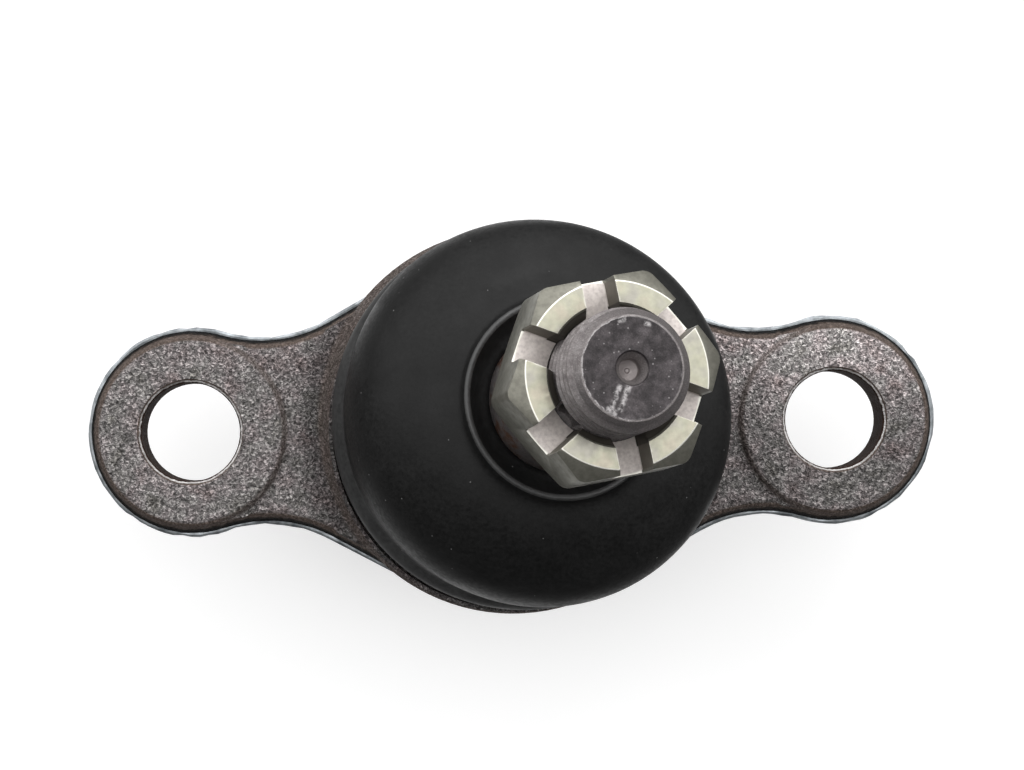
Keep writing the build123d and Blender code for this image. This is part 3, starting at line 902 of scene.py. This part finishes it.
# ---- studio ----------------------------------------------------------------------------
BRIGHT_SIDE = Vector((0.04, 0.88, 0.47)).normalized()
WORLD_SPAN = (-0.05, 0.36)               # how far along that side the light rises
WORLD_LIGHT = (0.04, 1.50)
KEY_PLACE = (0.18, 0.64, 0.46)
KEY_SIZE = (0.4, 0.4)
KEY_POWER = 1.3
FLOOR_SIZE = 4.0
PAPER_REACH = (0.04, 0.09)               # where the floor's reflection fades out
PAPER_GREY = (0.05, 0.62)                # base colour where it is hidden and where it isn't
PAPER_GLOW = 0.55


def area_lamp(name, place, size, power):
    """Rectangular lamp at a place, pointed at the ball."""
    data = bpy.data.lights.new(name, "AREA")
    data.shape = "RECTANGLE"
    data.size, data.size_y = size
    data.energy = power
    lamp = bpy.data.objects.new(name, data)
    bpy.context.scene.collection.objects.link(lamp)
    lamp.location = place
    lamp.rotation_euler = (ball - lamp.location).to_track_quat("-Z", "Y").to_euler()


def joined(tree, operation, *values):
    """Result of one step of arithmetic on plain values and other nodes' sockets."""
    node = tree.nodes.new("ShaderNodeMath")
    node.operation = operation
    for value, socket in zip(values, node.inputs):
        if isinstance(value, bpy.types.NodeSocket):
            tree.links.new(value, socket)
        else:
            socket.default_value = value
    return node.outputs[0]


def backdrop_share(tree):
    """1 for rays that see the backdrop directly, in metal or through glass."""
    path = tree.nodes.new("ShaderNodeLightPath")
    total = path.outputs["Is Camera Ray"]
    for name in ("Is Glossy Ray", "Is Transmission Ray"):
        total = joined(tree, "MAXIMUM", total, path.outputs[name])
    return total


def paper_near(tree):
    """1 everywhere, but falling to 0 away from the object for rays reflected by it."""
    where = tree.nodes.new("ShaderNodeTexCoord")
    length = tree.nodes.new("ShaderNodeVectorMath")
    length.operation = "LENGTH"
    tree.links.new(where.outputs["Object"], length.inputs[0])
    far = tree.nodes.new("ShaderNodeMapRange")
    far.interpolation_type = "SMOOTHSTEP"
    far.inputs["From Min"].default_value, far.inputs["From Max"].default_value = PAPER_REACH
    tree.links.new(length.outputs["Value"], far.inputs["Value"])
    path = tree.nodes.new("ShaderNodeLightPath")
    hidden = joined(tree, "MULTIPLY", far.outputs[0], path.outputs["Is Glossy Ray"])
    return joined(tree, "SUBTRACT", 1.0, hidden)


def white_paper():
    """Matte white that glows where it is seen directly, so that it stays white."""
    paper = bpy.data.materials.new("white_paper")
    paper.use_nodes = True
    tree = paper.node_tree
    shader = tree.nodes["Principled BSDF"]
    shader.inputs["Roughness"].default_value = 0.9
    shader.inputs["Emission Color"].default_value = (1, 1, 1, 1)
    near = paper_near(tree)
    white = tree.nodes.new("ShaderNodeMapRange")
    white.inputs["To Min"].default_value, white.inputs["To Max"].default_value = PAPER_GREY
    tree.links.new(near, white.inputs["Value"])
    tree.links.new(white.outputs[0], shader.inputs["Base Color"])
    glow = joined(tree, "MULTIPLY", backdrop_share(tree), PAPER_GLOW)
    tree.links.new(joined(tree, "MULTIPLY", near, glow), shader.inputs["Emission Strength"])
    return paper


def studio():
    """White floor under the part, the world's light and one lamp."""
    put_down()
    lowest = cad_box[0].z
    bpy.ops.mesh.primitive_plane_add(size=FLOOR_SIZE, location=(0, 0, lowest))
    floor = bpy.context.object
    floor.name = "floor"
    floor.data.materials.append(white_paper())
    world_light()
    area_lamp("key", KEY_PLACE, KEY_SIZE, KEY_POWER)


def world_light():
    """White where the camera sees it; the object is lit softly, mostly from the +Y side."""
    world = bpy.data.worlds.new("world")
    bpy.context.scene.world = world
    world.use_nodes = True
    tree = world.node_tree
    where = tree.nodes.new("ShaderNodeTexCoord")
    along = tree.nodes.new("ShaderNodeVectorMath")
    along.operation = "DOT_PRODUCT"
    along.inputs[1].default_value = BRIGHT_SIDE
    tree.links.new(where.outputs["Generated"], along.inputs[0])
    lit = tree.nodes.new("ShaderNodeMapRange")
    lit.interpolation_type = "SMOOTHSTEP"
    for socket, value in zip(lit.inputs[1:5], (*WORLD_SPAN, *WORLD_LIGHT)):
        socket.default_value = value
    tree.links.new(along.outputs["Value"], lit.inputs[0])
    path = tree.nodes.new("ShaderNodeLightPath")
    seen = tree.nodes.new("ShaderNodeMapRange")
    seen.inputs["To Max"].default_value = 1.0
    tree.links.new(path.outputs["Is Camera Ray"], seen.inputs["Value"])
    tree.links.new(lit.outputs[0], seen.inputs["To Min"])
    background = tree.nodes["Background"]
    background.inputs["Color"].default_value = (1, 1, 1, 1)
    tree.links.new(seen.outputs[0], background.inputs["Strength"])


set_camera()
studio()
dress_nodes()
flash_line()
ball_stud()
castle_nut()
dust_boot()
bpy.context.scene.view_settings.view_transform = "Standard"
